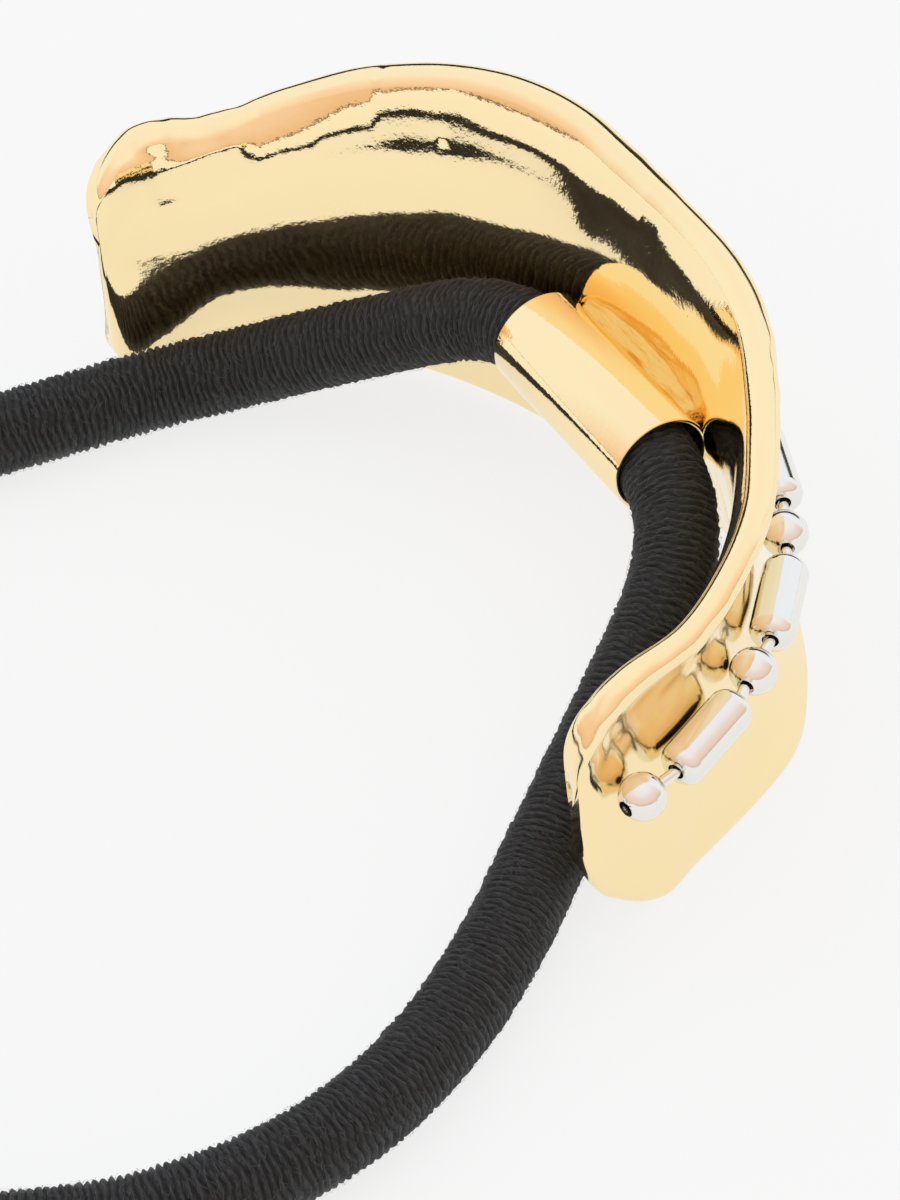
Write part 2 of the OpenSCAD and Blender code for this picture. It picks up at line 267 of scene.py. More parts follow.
# Its outward slope at the start and how much that grows in a metre, how far below the rim it ends,
# and over what lengths it begins and ends along the cuff
FLARE_SLOPE = 0.235
FLARE_BEND = 73.0
FLARE_TOP = 0.0004
FLARE_ENDS = (0.0010, 0.0010)
# How much the casting's lumps are flattened there, and over what height this begins
FLARE_CALM = 0.7
FLARE_CALM_FADE = 0.001
# Lumps all over the casting: height and size
CAST_LUMPS = [(0.00007, 0.0052), (0.000022, 0.0021)]
# Lumps of the flared corner: height and size; where they start along and up the cuff, and how gently
CORNER_LUMPS = [(0.00028, 0.0022), (0.00009, 0.0008)]
CORNER_FROM = (0.0258, 0.0138)
CORNER_FADE = 0.001
# Ripples of the outer face above the chain: height and size, and the height over which they begin
RIPPLES = [(0.00005, 0.0010)]
RIPPLE_FADE = 0.003
# Raised border down the ends of the outer face
BORDER_WIDTH = 0.0010
BORDER_HEIGHT = 0.00012
# Grooves across the rim: depth, half width and the points they run through
GROOVES = [
    (0.00012, 0.00050, [
        (0.0239, 0.0090, 0.0151), (0.0244, 0.0076, 0.0157), (0.0243, 0.0062, 0.0157),
        (0.0236, 0.0050, 0.0154),
    ]),
    (0.00008, 0.00045, [
        (-0.0239, 0.0099, 0.0147), (-0.0247, 0.0106, 0.0139), (-0.0245, 0.0112, 0.0115),
        (-0.0238, 0.0113, 0.0080),
    ]),
]
# How sharply the inner and the outer side are told apart round the edges
SIDE_SHARPNESS = 1.6
# Sections along the cuff, those in each rounded end and how they crowd towards it
CUFF_RINGS = 590
END_RINGS = 16
END_CROWDING = 1.5
# Points up the inner face and how they crowd towards the rim, points down the outer face, and steps
# round each edge
INNER_POINTS = 92
INNER_CROWDING = 1.25
OUTER_POINTS = 32
CAP_POINTS = 18


def smooth(u):
    """Rises from 0 to 1 as u does, level at both ends."""
    v = np.clip(u, 0.0, 1.0)
    return v * v * (3 - 2 * v)


def value_noise(points, size, seed):
    """Smooth noise from -1 to 1 at each point, with lumps of about that size."""
    random = np.random.default_rng(seed)
    table = random.uniform(-1, 1, NOISE_TABLE)
    scaled = points / size + NOISE_SHIFT
    cell = np.floor(scaled).astype(np.int64)
    part = scaled - cell
    part = part * part * (3 - 2 * part)
    total = np.zeros(len(points))
    for dx in (0, 1):
        for dy in (0, 1):
            for dz in (0, 1):
                x, y, z = cell[:, 0] + dx, cell[:, 1] + dy, cell[:, 2] + dz
                mix_x, mix_y, mix_z = NOISE_FACTORS
                key = (x * mix_x ^ y * mix_y ^ z * mix_z) % len(table)
                share = (
                    np.where(dx, part[:, 0], 1 - part[:, 0])
                    * np.where(dy, part[:, 1], 1 - part[:, 1])
                    * np.where(dz, part[:, 2], 1 - part[:, 2])
                )
                total += share * table[key]
    return total


def lumpiness(points, table, seed):
    """Sum of noises at each point: a row of the table is a height and a size."""
    return sum(height * value_noise(points, size, seed + row) for row, (height, size) in enumerate(table))


def between(u, start, end, start_slope, end_slope):
    """Smooth curve from start to end with those slopes, as u goes from 0 to 1."""
    return (
        (2 * u**3 - 3 * u**2 + 1) * start + (u**3 - 2 * u**2 + u) * start_slope
        + (3 * u**2 - 2 * u**3) * end + (u**3 - u**2) * end_slope
    )


def grid_faces(rows, columns, loop_rows, loop_columns):
    """Quads over a grid of vertices, joined round where it loops."""
    a = np.arange(rows if loop_rows else rows - 1)[:, None]
    b = np.arange(columns if loop_columns else columns - 1)[None, :]
    a2, b2 = (a + 1) % rows, (b + 1) % columns
    corners = [a * columns + b, a2 * columns + b, a2 * columns + b2, a * columns + b2]
    return np.stack([np.broadcast_to(c, (a.size, b.size)) for c in corners], -1).reshape(-1, 4)


def tube_faces(rows, columns):
    """Quads of a tube through rings of vertices, and a flat face over each end."""
    faces = grid_faces(rows, columns, False, True).tolist()
    faces.append(list(range(columns)))
    faces.append(list(range((rows - 1) * columns, rows * columns))[::-1])
    return faces


def add_mesh(name, points, faces, material):
    """New smooth object from arrays of points and faces, riding on the one body."""
    mesh = bpy.data.meshes.new(name)
    mesh.from_pydata(np.asarray(points).tolist(), [], [list(map(int, f)) for f in faces])
    mesh.validate()
    mesh.shade_smooth()
    mesh.materials.append(material)
    piece = bpy.data.objects.new(name, mesh)
    bpy.context.scene.collection.objects.link(piece)
    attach(piece, "root")
    return piece


def mark(piece, name, values):
    """Stores a value for each vertex, which a material reads by name."""
    layer = piece.data.attributes.new(name, "FLOAT", "POINT")
    layer.data.foreach_set("value", values.reshape(-1).astype(np.float32))


def vertex_normals(grid, loop_rows, loop_columns):
    """Unit normals of a grid of points, from its neighbours along and across."""
    def step(axis, loops):
        if loops:
            return np.roll(grid, -1, axis) - np.roll(grid, 1, axis)
        return np.gradient(grid, axis=axis)

    normal = np.cross(step(0, loop_rows), step(1, loop_columns))
    return normal / np.maximum(np.linalg.norm(normal, axis=-1, keepdims=True), 1e-12)


# Camera and light
def add_camera():
    """Camera that looks at LOOK_AT as the photograph's does."""
    back = Vector((
        math.sin(VIEW_AZIMUTH) * math.cos(VIEW_ELEVATION),
        -math.cos(VIEW_AZIMUTH) * math.cos(VIEW_ELEVATION),
        math.sin(VIEW_ELEVATION),
    ))
    right = Vector((math.cos(VIEW_AZIMUTH), math.sin(VIEW_AZIMUTH), 0.0))
    up = back.cross(right)
    side = right * math.cos(VIEW_ROLL) - up * math.sin(VIEW_ROLL)
    top = right * math.sin(VIEW_ROLL) + up * math.cos(VIEW_ROLL)
    data = bpy.data.cameras.new("camera")
    data.sensor_fit = "VERTICAL"
    data.sensor_height = SENSOR_HEIGHT
    data.lens = LENS
    data.clip_start = 0.01
    camera = bpy.data.objects.new("camera", data)
    turn = Matrix((side, top, back)).transposed().to_4x4()
    camera.matrix_world = Matrix.Translation(LOOK_AT + back * VIEW_DISTANCE) @ turn
    bpy.context.scene.collection.objects.link(camera)
    bpy.context.scene.camera = camera


def sky_ramp(nodes, stops):
    """Colours of the surroundings by height: each stop is a height and a colour."""
    ramp = nodes.new("ShaderNodeValToRGB")
    elements = ramp.color_ramp.elements
    while len(elements) < len(stops):
        elements.new(1.0)
    for element, (height, colour) in zip(elements, stops):
        element.position = height
        element.color = (*colour, 1)
    return ramp


def add_world():
    """Pale room with a dark line at the horizon, brighter and cooler behind the cuff."""
    world = bpy.data.worlds.new("studio")
    world.use_nodes = True
    nodes, links = world.node_tree.nodes, world.node_tree.links
    coords = nodes.new("ShaderNodeTexCoord")
    split = nodes.new("ShaderNodeSeparateXYZ")
    links.new(coords.outputs["Generated"], split.inputs[0])
    along = nodes.new("ShaderNodeVectorMath")
    along.operation = "DOT_PRODUCT"
    along.inputs[1].default_value = FAR_WAY
    links.new(coords.outputs["Generated"], along.inputs[0])

    def rise(low, high):
        share = nodes.new("ShaderNodeMapRange")
        share.interpolation_type = "SMOOTHSTEP"
        share.inputs["From Min"].default_value = low
        share.inputs["From Max"].default_value = high
        links.new(along.outputs["Value"], share.inputs["Value"])
        return share.outputs["Result"]

    lowered = nodes.new("ShaderNodeMath")
    lowered.operation = "MULTIPLY_ADD"
    lowered.inputs[1].default_value = -FAR_LINE
    links.new(rise(*FAR_LINE_EDGE), lowered.inputs[0])
    links.new(split.outputs["Z"], lowered.inputs[2])
    near, far = sky_ramp(nodes, NEAR_SKY), sky_ramp(nodes, FAR_SKY)
    links.new(split.outputs["Z"], near.inputs[0])
    links.new(lowered.outputs[0], far.inputs[0])
    mix = nodes.new("ShaderNodeMix")
    mix.data_type = "RGBA"
    links.new(rise(*FAR_SIDE_EDGE), mix.inputs["Factor"])
    links.new(near.outputs["Color"], mix.inputs[6])
    links.new(far.outputs["Color"], mix.inputs[7])
    background = nodes["Background"]
    links.new(mix.outputs[2], background.inputs["Color"])
    background.inputs["Strength"].default_value = SKY_STRENGTH
    bpy.context.scene.world = world


def add_floor():
    """Pale surface that the hair tie lies on; most of its brightness is its own glow."""
    mesh = bpy.data.meshes.new("floor")
    ways = [(-1, -1), (1, -1), (1, 1), (-1, 1)]
    corners = [(x * FLOOR_HALF, y * FLOOR_HALF, 0) for x, y in ways]
    mesh.from_pydata(corners, [], [(0, 1, 2, 3)])
    material = bpy.data.materials.new("floor")
    material.use_nodes = True
    shader = material.node_tree.nodes["Principled BSDF"]
    shader.inputs["Base Color"].default_value = (0.127, 0.136, 0.137, 1)
    shader.inputs["Roughness"].default_value = 0.9
    shader.inputs["Emission Color"].default_value = (1, 1, 1, 1)
    shader.inputs["Emission Strength"].default_value = 0.80
    mesh.materials.append(material)
    floor = bpy.data.objects.new("floor", mesh)
    floor.location = (0, 0, cad_box[0][2] - FLOOR_GAP)
    bpy.context.scene.collection.objects.link(floor)


# Materials
def new_material(name):
    """New material, with its nodes and links."""
    material = bpy.data.materials.new(name)
    material.use_nodes = True
    return material, material.node_tree.nodes, material.node_tree.links


def noise_node(nodes, links, scale):
    """Even noise in the object's own coordinates."""
    coords = nodes.new("ShaderNodeTexCoord")
    noise = nodes.new("ShaderNodeTexNoise")
    noise.inputs["Scale"].default_value = scale
    noise.inputs["Detail"].default_value = NOISE_DETAIL
    links.new(coords.outputs["Object"], noise.inputs["Vector"])
    return noise


def grain_node(nodes, links, coordinates, steps):
    """Noise with its own number of steps a metre along each of those coordinates."""
    coords = nodes.new("ShaderNodeTexCoord")
    stretch = nodes.new("ShaderNodeMapping")
    stretch.inputs["Scale"].default_value = steps
    links.new(coords.outputs[coordinates], stretch.inputs["Vector"])
    noise = nodes.new("ShaderNodeTexNoise")
    noise.inputs["Scale"].default_value = 1.0
    noise.inputs["Detail"].default_value = NOISE_DETAIL
    links.new(stretch.outputs["Vector"], noise.inputs["Vector"])
    return noise


def attribute_node(nodes, name):
    """Value that mark() stored on the piece."""
    attribute = nodes.new("ShaderNodeAttribute")
    attribute.attribute_name = name
    return attribute


def set_roughness(nodes, links, value, low, high):
    """Makes the roughness run from low to high as the value goes from 0 to 1."""
    roughness = nodes.new("ShaderNodeMapRange")
    roughness.inputs["To Min"].default_value = low
    roughness.inputs["To Max"].default_value = high
    links.new(value, roughness.inputs["Value"])
    links.new(roughness.outputs["Result"], nodes["Principled BSDF"].inputs["Roughness"])


def set_bump(nodes, links, height, strength, distance):
    """Bumps the shader's surface by the height."""
    bump = nodes.new("ShaderNodeBump")
    bump.inputs["Strength"].default_value = strength
    bump.inputs["Distance"].default_value = distance
    links.new(height, bump.inputs["Height"])
    links.new(bump.outputs["Normal"], nodes["Principled BSDF"].inputs["Normal"])


def gold_material():
    """Mirror-bright gold with a faint orange peel inside, softer on the outer face."""
    material, nodes, links = new_material("gold")
    shader = nodes["Principled BSDF"]
    shader.inputs["Metallic"].default_value = 1.0
    shader.inputs["Base Color"].default_value = (1.0, 0.82, 0.48, 1)
    inner = attribute_node(nodes, "inner")
    set_roughness(nodes, links, inner.outputs["Fac"], 0.12, 0.03)
    peel = noise_node(nodes, links, 3500.0)
    peel_height = nodes.new("ShaderNodeMath")
    peel_height.operation = "MULTIPLY"
    links.new(peel.outputs["Fac"], peel_height.inputs[0])
    links.new(inner.outputs["Fac"], peel_height.inputs[1])
    set_bump(nodes, links, peel_height.outputs[0], 0.28, 0.00002)
    return material


def solder_material():
    """Rougher, deeper gold, streaked along the sleeve."""
    material, nodes, links = new_material("solder")
    shader = nodes["Principled BSDF"]
    shader.inputs["Metallic"].default_value = 1.0
    shader.inputs["Base Color"].default_value = (0.93, 0.58, 0.16, 1)
    shader.inputs["Roughness"].default_value = 0.32
    streaks = grain_node(nodes, links, "Object", SOLDER_GRAIN)
    set_bump(nodes, links, streaks.outputs["Fac"], 1.0, 0.00012)
    return material


def steel_material():
    """Polished steel, a little uneven in its shine."""
    material, nodes, links = new_material("steel")
    shader = nodes["Principled BSDF"]
    shader.inputs["Metallic"].default_value = 1.0
    shader.inputs["Base Color"].default_value = (0.86, 0.85, 0.81, 1)
    wear = noise_node(nodes, links, 1500.0)
    set_roughness(nodes, links, wear.outputs["Fac"], 0.08, 0.16)
    return material


def fuzz_material():
    """Loose fibres, a little paler than the yarn."""
    material, nodes, _ = new_material("yarn_fibres")
    shader = nodes["Principled BSDF"]
    shader.inputs["Base Color"].default_value = (0.050, 0.057, 0.062, 1)
    shader.inputs["Roughness"].default_value = 0.4
    return material


def yarn_material():
    """Dark matt yarn with painted shade between the ribs, darker there than on the crests; its fibres run
    round the cord, along the map's V.
    """
    material, nodes, links = new_material("yarn")
    shader = nodes["Principled BSDF"]
    shader.inputs["Roughness"].default_value = 0.62
    shader.inputs["Sheen Weight"].default_value = 0.10
    shader.inputs["Sheen Roughness"].default_value = 0.4
    fibres = grain_node(nodes, links, "UV", FIBRE_GRAIN)
    ramp = nodes.new("ShaderNodeValToRGB")
    ramp.color_ramp.elements[0].position = 0.40
    ramp.color_ramp.elements[0].color = (0.003, 0.0036, 0.0040, 1)
    ramp.color_ramp.elements[1].position = 0.66
    ramp.color_ramp.elements[1].color = (0.037, 0.043, 0.047, 1)
    links.new(fibres.outputs["Fac"], ramp.inputs[0])
    # Painted shade between the ribs: the colour mixes from near black in the valleys to the yarn's own
    # colour on the crests
    painted_rib_shade = attribute_node(nodes, "painted_rib_shade")
    shade = nodes.new("ShaderNodeMix")
    shade.data_type = "RGBA"
    shade.inputs[6].default_value = (0.002, 0.0026, 0.003, 1)
    links.new(painted_rib_shade.outputs["Fac"], shade.inputs["Factor"])
    links.new(ramp.outputs["Color"], shade.inputs[7])
    links.new(shade.outputs[2], shader.inputs["Base Color"])
    set_bump(nodes, links, fibres.outputs["Fac"], 1.0, 0.00009)
    return material


# Elastic: a closed tube of ribbed yarn along the route
def elastic_line(count):
    """Points evenly spaced round the loop, starting at the sleeve's +X mouth."""
    route = np.array(ROUTE)
    before, after = np.roll(route, 1, 0), np.roll(route, -1, 0)
    tangent = (after - before) / 2
    u = np.linspace(0, 1, ROUTE_STEPS, endpoint=False)[None, :, None]
    slopes = tangent[:, None], np.roll(tangent, -1, 0)[:, None]
    line = between(u, route[:, None], after[:, None], *slopes).reshape(-1, 3)
    mouth = np.argmin(np.abs(line[:, 0] - SLEEVE_LENGTH / 2) + np.abs(line[:, 1] - SLEEVE_Y))
    line = np.roll(line, -mouth, 0)
    closed = np.vstack([line, line[:1]])
    travelled = np.concatenate([[0], np.cumsum(np.linalg.norm(np.diff(closed, axis=0), axis=1))])
    places = np.linspace(0, travelled[-1], count, endpoint=False)
    points = np.stack([np.interp(places, travelled, closed[:, i]) for i in range(3)], 1)
    return points, places, travelled[-1]


def elastic_frames(points):
    """Unit vectors to the side of the line and up from it."""
    ahead = np.roll(points, -1, 0) - np.roll(points, 1, 0)
    ahead /= np.linalg.norm(ahead, axis=1, keepdims=True)
    side = np.cross([0.0, 0.0, 1.0], ahead)
    side /= np.linalg.norm(side, axis=1, keepdims=True)
    return side, np.cross(ahead, side)


def add_elastic(material, fibre_material):
    """Ribbed cover on the free loop, the stretch inside the sleeve, and loose fibres."""
    points, places, length = elastic_line(ELASTIC_RINGS)
    side, up = elastic_frames(points)
    angle = np.linspace(0, 2 * math.pi, ELASTIC_SIDES, endpoint=False)[None, :]
    outward = np.cos(angle)[..., None] * side[:, None] + np.sin(angle)[..., None] * up[:, None]
    smooth_skin = (points[:, None] + ELASTIC_RADIUS * outward).reshape(-1, 3)
    ribs = round(length / RIB_PITCH)
    zigzag = np.abs((angle / (2 * math.pi) * RIB_WAVES) % 1 - 0.5)
    phase = places[:, None] / length * ribs + RIB_WAVE * zigzag
    phase = phase + RIB_SWAY * value_noise(smooth_skin, RIB_SWAY_SIZE, SWAY_SEED).reshape(phase.shape)
    rib = np.abs(np.sin(math.pi * phase)) ** RIB_POWER
    lumps = value_noise(smooth_skin, YARN_LUMP_SIZE, YARN_SEED).reshape(phase.shape)
    radius = ELASTIC_RADIUS - RIB_HEIGHT * (1 - rib) + YARN_LUMP * RIB_HEIGHT * (lumps - 1)
    skin = points[:, None] + radius[..., None] * outward
    outside = length - SLEEVE_LENGTH
    last = int(np.searchsorted(places, outside))
    cover = add_tube("elastic_cover", skin[:last + 1], places[:last + 1], rib[:last + 1], material)
    rest = np.arange(last, len(points) + 1) % len(points)
    hidden = np.append(places[last:], length)
    core = add_tube("elastic_in_sleeve", skin[rest], hidden, rib[rest], material)
    fuzz = add_fuzz(points[:last], side[:last], up[:last], fibre_material)
    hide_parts("elastic")
    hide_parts("elastic")


def add_tube(name, skin, places, painted_rib_shade, material):
    """Tube through rings of points, with flat ends; its UV map is in metres along and round it."""
    rows, columns = skin.shape[:2]
    piece = add_mesh(name, skin.reshape(-1, 3), tube_faces(rows, columns), material)
    row, column = np.meshgrid(np.arange(rows - 1), np.arange(columns), indexing="ij")
    corner_rows = np.stack([row, row + 1, row + 1, row], -1)
    corner_columns = np.stack([column, column, column + 1, column + 1], -1)
    around = corner_columns * 2 * math.pi * ELASTIC_RADIUS / columns
    uv = np.stack([places[corner_rows], around], -1).reshape(-1, 2)
    # Stores the painted shade between the ribs for the yarn material: 1 on a crest, 0 in a valley
    mark(piece, "painted_rib_shade", painted_rib_shade**2)
    layer = piece.data.uv_layers.new(name="UVMap")
    layer.data.foreach_set("uv", np.concatenate([uv.reshape(-1), np.zeros(4 * columns)]))
    return piece


def add_fuzz(points, side, up, material):
    """Short loose fibres all over the cover, each a thin curved ribbon."""
    random = np.random.default_rng(FUZZ_SEED)
    ring = random.integers(2, len(points) - 3, FIBRES)
    angle = random.uniform(0, 2 * math.pi, FIBRES)
    outward = np.cos(angle)[:, None] * side[ring] + np.sin(angle)[:, None] * up[ring]
    ahead = points[ring + 1] - points[ring]
    ahead /= np.linalg.norm(ahead, axis=1, keepdims=True)
    around = np.cross(ahead, outward)
    turn = random.normal(math.pi / 2, FIBRE_TURN, FIBRES)[:, None]
    way = np.cos(turn) * ahead + np.sin(turn) * around * random.choice([-1, 1], FIBRES)[:, None]
    across = np.cross(way, outward)
    reach = random.uniform(*FIBRE_LENGTHS, FIBRES)[:, None] * FIBRE_LENGTH
    lift = random.uniform(*FIBRE_LIFTS, FIBRES)[:, None] * FIBRE_LIFT
    curl = random.normal(0, FIBRE_CURL, FIBRES)[:, None]
    root = points[ring] + (ELASTIC_RADIUS - FIBRE_ROOT) * outward
    rows = []
    for u in np.linspace(0, 1, FIBRE_STEPS + 1):
        arch = math.sin(math.pi * (FIBRE_ARCH[0] + FIBRE_ARCH[1] * u))
        rise = lift * arch - reach**2 * u * u / (4 * ELASTIC_RADIUS)
        spine = root + reach * u * way + reach * curl * u * u * across + rise * outward
        spine[:, 2] = np.maximum(spine[:, 2], FIBRE_FLOOR)
        half = FIBRE_WIDTH / 2 * (1 - FIBRE_TAPER * u) * across
        rows += [spine - half, spine + half]
    grid = np.stack(rows, 1)
    first = np.arange(FIBRES)[:, None] * len(rows)
    faces = [first + np.array([2 * k, 2 * k + 1, 2 * k + 3, 2 * k + 2]) for k in range(FIBRE_STEPS)]
    return add_mesh("elastic_fuzz", grid.reshape(-1, 3), np.concatenate(faces), material)


# Cuff
def table_at(s, column):
    """Value of a column of EDGES at s, on a smooth curve through its rows."""
    places, values = EDGES[:, 0], EDGES[:, column]
    rows = np.arange(len(places))
    before, after = np.maximum(rows - 1, 0), np.minimum(rows + 1, len(places) - 1)
    slopes = (values[after] - values[before]) / (places[after] - places[before])
    i = np.clip(np.searchsorted(places, s, side="right") - 1, 0, len(places) - 2)
    width = places[i + 1] - places[i]
    u = (s - places[i]) / width
    return between(u, values[i], values[i + 1], width * slopes[i], width * slopes[i + 1])


def heading(s):
    """Angle by which the cuff's line has turned at s, seen from above."""
    middle = MID_RADIUS * MID_TURN
    past = np.maximum(np.abs(s) - middle, 0)
    return np.sign(s) * (np.minimum(np.abs(s), middle) / MID_RADIUS + past / SIDE_RADIUS)


def place(s, out, z):
    """Point at arc length s along the cuff's outer face, moved outwards by out."""
    h = heading(s)
    turn, rest = np.clip(h, -MID_TURN, MID_TURN), np.abs(h) > MID_TURN
    x_mid, y_mid = MID_RADIUS * np.sin(turn), MID_RADIUS * (1 - np.cos(turn))
    x = x_mid + np.where(rest, SIDE_RADIUS * (np.sin(h) - np.sin(turn)), 0)
    y = y_mid + np.where(rest, SIDE_RADIUS * (np.cos(turn) - np.cos(h)), 0)
    return np.stack([x + out * np.sin(h), FACE_Y + y - out * np.cos(h), z + 0 * h], -1)


def from_end(s):
    """Distance along the cuff from its nearer end."""
    return np.where(s < 0, s - FIRST_S, LAST_S - s)


def corner_cut(s, edge_no):
    """How much a corner takes off the rim (0) or the lower edge (1)."""
    radius = np.where(s < 0, CORNERS[0][edge_no], CORNERS[1][edge_no])
    inside = np.maximum(radius - from_end(s), 0)
    return radius - np.sqrt(radius**2 - inside**2)


def low_z(s):
    """Height of the lower edge."""
    return table_at(s, LOW) + corner_cut(s, 1)


def top_z(s):
    """Height of the rim."""
    return table_at(s, TOP) - corner_cut(s, 0)


def end_thinning(s):
    """Share of the wall's thickness that is left near the ends."""
    inside = np.maximum(np.where(s < 0, *END_ROUND) - from_end(s), 0)
    return np.sqrt(1 - (inside / np.where(s < 0, *END_FACE)) ** 2)


def lean(s, z):
    """How far the outer face leans outwards at height z."""
    above = np.maximum(z - CHAIN_Z, 0) / (table_at(s, TOP) - CHAIN_Z)
    below = np.maximum(CHAIN_Z - z, 0) / (CHAIN_Z - table_at(s, LOW))
    return table_at(s, TOP_OUT) * above**RIM_BEND + table_at(s, LOW_OUT) * below**EDGE_BEND


def swell(s, z):
    """Inward swelling of the wall's lower part."""
    return end_thinning(s) * table_at(s, SWELL) * smooth((low_z(s) + SWELL_REACH - z) / SWELL_REACH)


def centre(s, z):
    """Outward place of the wall's middle."""
    return lean(s, z) - WALL / 2 - swell(s, z) / 2


def thickness(s, z):
    """Thickness of the wall, with its rim, lower edge and swelling."""
    rim = (table_at(s, RIM) - WALL) * smooth((z - top_z(s) + RIM_SWELL) / RIM_SWELL)
    foot = (EDGE - WALL) * smooth((low_z(s) + EDGE_SWELL - z) / EDGE_SWELL)
    return swell(s, z) + end_thinning(s) * (WALL + rim + foot)


def beside(s, z, angle):
    """Outward place and height beside the wall's middle: angle 0 is outwards, 90 up the wall."""
    step = 0.00005
    k = (centre(s, z + step) - centre(s, z - step)) / (2 * step)
    n = np.sqrt(1 + k * k)
    a, b = np.cos(angle) * thickness(s, z) / 2, np.sin(angle) * thickness(s, z) / 2
    return centre(s, z) + (a + k * b) / n, z + (b - k * a) / n


def cuff_places():
    """Arc lengths of the rings, closer together in the rounded ends."""
    even = np.linspace(FIRST_S, LAST_S, CUFF_RINGS)
    close = np.linspace(0, 1, END_RINGS, endpoint=False) ** END_CROWDING
    inner = even[(even > FIRST_S + END_ROUND[0]) & (even < LAST_S - END_ROUND[1])]
    first, last = FIRST_S + END_ROUND[0] * close, LAST_S - END_ROUND[1] * close[::-1]
    return np.concatenate([first, inner, last])


def section(s):
    """Heights and angles of the points round one section, inner face first."""
    low = low_z(s) + end_thinning(s) * (EDGE + table_at(s, SWELL)) / 2
    top = top_z(s) - end_thinning(s) * table_at(s, RIM) / 2
    rise = 1 - np.linspace(1, 0, INNER_POINTS) ** INNER_CROWDING
    fall = np.linspace(0, 1, OUTER_POINTS)
    cap = np.linspace(0, math.pi, CAP_POINTS + 1)[1:-1]
    up, down = low + rise * (top - low), top + fall * (low - top)
    z = np.concatenate([up, 0 * cap + top, down, 0 * cap + low])
    angle = np.concatenate([0 * rise + math.pi, math.pi - cap, 0 * fall, -cap])
    return z, angle


def facets(s, z):
    """How far the creases have moved the inner face inwards at height z."""
    away = np.linspace(-FACET_BELOW, FACET_RUN + FACET_FADE, FACET_STEPS)
    begun = smooth((away + FACET_BELOW) / FACET_FADE)
    below = begun * (1 - smooth((away + FACET_START / 2) / FACET_START))
    above = smooth(away / FACET_START) * (1 - smooth((away - FACET_RUN) / FACET_FADE))
    start, low, high = (np.interp(s, FACETS[:, 0], FACETS[:, k]) for k in (1, 2, 3))
    step = away[1] - away[0]
    return -(
        low * np.interp(z - start, away, np.cumsum(below) * step)
        + high * np.interp(z - start, away, np.cumsum(above) * step)
    )


def dents(s, z):
    """Round dents of the inner face, below 0."""
    total = 0
    for at_s, at_z, radius, depth in INNER_DENTS:
        total = total + depth * np.exp(-((s - at_s) ** 2 + (z - at_z) ** 2) / radius**2)
    return total


def flare(s, z):
    """Even flare of the inner face under the rim, near the +X end, and where its lumps are calm."""
    start, stop = (np.interp(s, FLARE[:, 0], FLARE[:, k]) for k in (1, 2))
    ends = smooth((s - FLARE[0, 0]) / FLARE_ENDS[0]) * smooth((FLARE[-1, 0] - s) / FLARE_ENDS[1])
    height = np.clip(z, start, stop)
    out = FLARE_SLOPE * (height - start) + FLARE_BEND / 2 * (height - start) ** 2
    fall = smooth((z - stop) / (table_at(s, TOP) - FLARE_TOP - stop))
    share = ends * (1 - fall)
    calm = share * smooth((z - start + FLARE_CALM_FADE) / FLARE_CALM_FADE)
    return share * (lean(s, height) - lean(s, start) - out), calm


def grooves(points):
    """Depth of the grooves at each point."""
    total = np.zeros(len(points))
    for depth, half_width, line in GROOVES:
        nearest = np.full(len(points), 1.0)
        for start, end in zip(np.array(line[:-1]), np.array(line[1:])):
            along = np.clip((points - start) @ (end - start) / np.dot(end - start, end - start), 0, 1)
            gap = np.linalg.norm(points - start - along[:, None] * (end - start), axis=1)
            nearest = np.minimum(nearest, gap)
        total += depth * np.exp(-((nearest / half_width) ** 2))
    return total


def cast_relief(s, z, angle, points):
    """How far the casting's lumps, creases, borders and grooves move each point along its normal."""
    inner = smooth(-SIDE_SHARPNESS * np.cos(angle))
    outer = smooth(SIDE_SHARPNESS * np.cos(angle))
    flared, calm = flare(s, z)
    lumps = lumpiness(points, CAST_LUMPS, CAST_SEED).reshape(z.shape) * (1 - FLARE_CALM * inner * calm)
    corner = smooth((s - CORNER_FROM[0]) / CORNER_FADE) * smooth((z - CORNER_FROM[1]) / CORNER_FADE)
    lumps = lumps + corner * lumpiness(points, CORNER_LUMPS, CORNER_SEED).reshape(z.shape)
    rippled = outer * smooth((z - CHAIN_Z) / RIPPLE_FADE)
    lumps = lumps + rippled * lumpiness(points, RIPPLES, RIPPLE_SEED).reshape(z.shape)
    border = BORDER_HEIGHT * outer * (1 - smooth((from_end(s) - BORDER_WIDTH) / BORDER_WIDTH))
    relief = facets(s, z) + dents(s, z) + flared
    return lumps + inner * relief + border - grooves(points).reshape(z.shape)


def add_cuff(material):
    """Cast plate, from its sections and the relief of its surface."""
    s = cuff_places()
    sections = [section(v) for v in s]
    z = np.array([row[0] for row in sections])
    angle = np.array([row[1] for row in sections])
    s_grid = np.broadcast_to(s[:, None], z.shape)
    out, height = beside(s_grid, z, angle)
    grid = place(s_grid, out, height)
    outward = -vertex_normals(grid, False, True)
    grid = grid + cast_relief(s_grid, z, angle, grid.reshape(-1, 3))[..., None] * outward
    piece = add_mesh("cuff_cast", grid.reshape(-1, 3), tube_faces(*z.shape), material)
    mark(piece, "inner", smooth(-SIDE_SHARPNESS * np.cos(angle)))
    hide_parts("cuff")


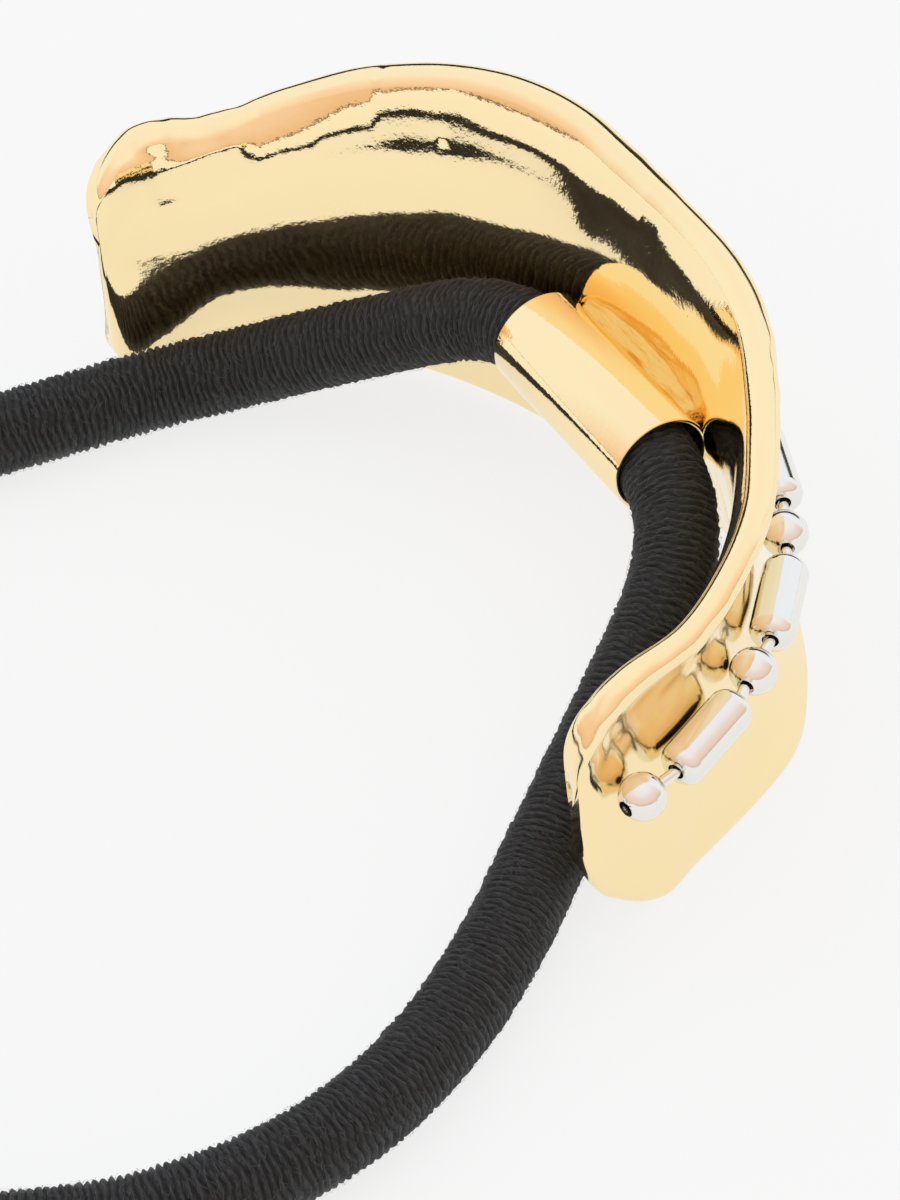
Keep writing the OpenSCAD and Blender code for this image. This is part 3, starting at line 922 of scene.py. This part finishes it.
def add_sleeve(material):
    """Open tube with rounded lips."""
    lip = SLEEVE_WALL / 2
    half = SLEEVE_LENGTH / 2 - lip
    turn = np.linspace(0, math.pi, LIP_POINTS)
    middle = SLEEVE_RADIUS - lip
    across = np.concatenate([middle + lip * np.cos(turn), middle - lip * np.cos(turn)])
    along = np.concatenate([half + lip * np.sin(turn), -half - lip * np.sin(turn)])
    angle = np.linspace(0, 2 * math.pi, SLEEVE_SIDES, endpoint=False)[:, None]
    grid = np.stack([
        along + 0 * angle,
        SLEEVE_Y + across * np.cos(angle),
        SLEEVE_Z + across * np.sin(angle),
    ], -1)
    faces = grid_faces(grid.shape[0], grid.shape[1], True, True)
    piece = add_mesh("sleeve", grid.reshape(-1, 3), faces, material)
    mark(piece, "inner", np.ones(grid.shape[:2]))


def solder_section(at_x, full):
    """Points round the solder at one place along the sleeve; full is 1 between its tapers."""
    wall_y = FACE_Y + MID_RADIUS - math.sqrt(MID_RADIUS**2 - at_x**2) + WALL - SOLDER_SINK
    spread = math.radians(SOLDER_ANGLE) * (SOLDER_END_ANGLE + (1 - SOLDER_END_ANGLE) * full)
    reach = SOLDER_END_REACH + (SOLDER_REACH - SOLDER_END_REACH) * full
    turn = np.linspace(-spread, spread, SOLDER_ROUND)
    core = SLEEVE_RADIUS - SLEEVE_WALL / 2
    back = np.stack([SLEEVE_Y - core * np.cos(turn), SLEEVE_Z + core * np.sin(turn)], -1)
    u = np.linspace(0, 1, SOLDER_SLOPE + 2)[1:-1, None]
    top = back[-1] * (1 - u) + np.array([wall_y, SLEEVE_Z + reach]) * u
    top[:, 1] -= SOLDER_SAG * np.sin(math.pi * u[:, 0])
    low = top[::-1] * [1, -1] + [0, 2 * SLEEVE_Z]
    wall_z = SLEEVE_Z + np.linspace(reach, -reach, SOLDER_FOOT)
    wall = np.stack([wall_y + 0 * wall_z, wall_z], -1)
    return np.concatenate([back, top, wall, low])


def add_solder(material):
    """Rough fillets above and below the sleeve, between it and the wall."""
    x = np.linspace(SOLDER[0], SOLDER[1], SOLDER_RINGS)
    ends = np.sqrt(smooth((x - x[0]) / SOLDER_TAPER) * smooth((x[-1] - x) / SOLDER_TAPER))
    rings = np.array([solder_section(at_x, full) for at_x, full in zip(x, ends)])
    grid = np.concatenate([np.broadcast_to(x[:, None, None], rings.shape[:2] + (1,)), rings], -1)
    flat = grid.reshape(-1, 3)
    rough = sum(
        height * value_noise(flat * [stretch, 1, 1], size, SOLDER_SEED + row)
        for row, (height, size, stretch) in enumerate(SOLDER_LUMPS)
    )
    # Only the slopes' own points are roughened, not those where they meet the sleeve and the wall
    free = np.zeros(rings.shape[1])
    free[SOLDER_ROUND + 1:SOLDER_ROUND + SOLDER_SLOPE - 1] = 1
    free[1 - SOLDER_SLOPE:-1] = 1
    grid[..., 2] += rough.reshape(rings.shape[:2]) * free
    piece = add_mesh("solder", grid.reshape(-1, 3), tube_faces(*rings.shape[:2]), material)
    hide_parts("cuff")


def polish_beads(material):
    """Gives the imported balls, barrels and pins their material."""
    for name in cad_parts:
        if name.startswith(("ball", "barrel", "pin")):
            bead = bpy.data.objects[name]
            bead.data.materials.clear()
            bead.data.materials.append(material)


add_camera()
add_world()
add_floor()
gold = gold_material()
add_elastic(yarn_material(), fuzz_material())
add_cuff(gold)
add_sleeve(gold)
add_solder(solder_material())
polish_beads(steel_material())
bpy.context.scene.view_settings.view_transform = "Standard"
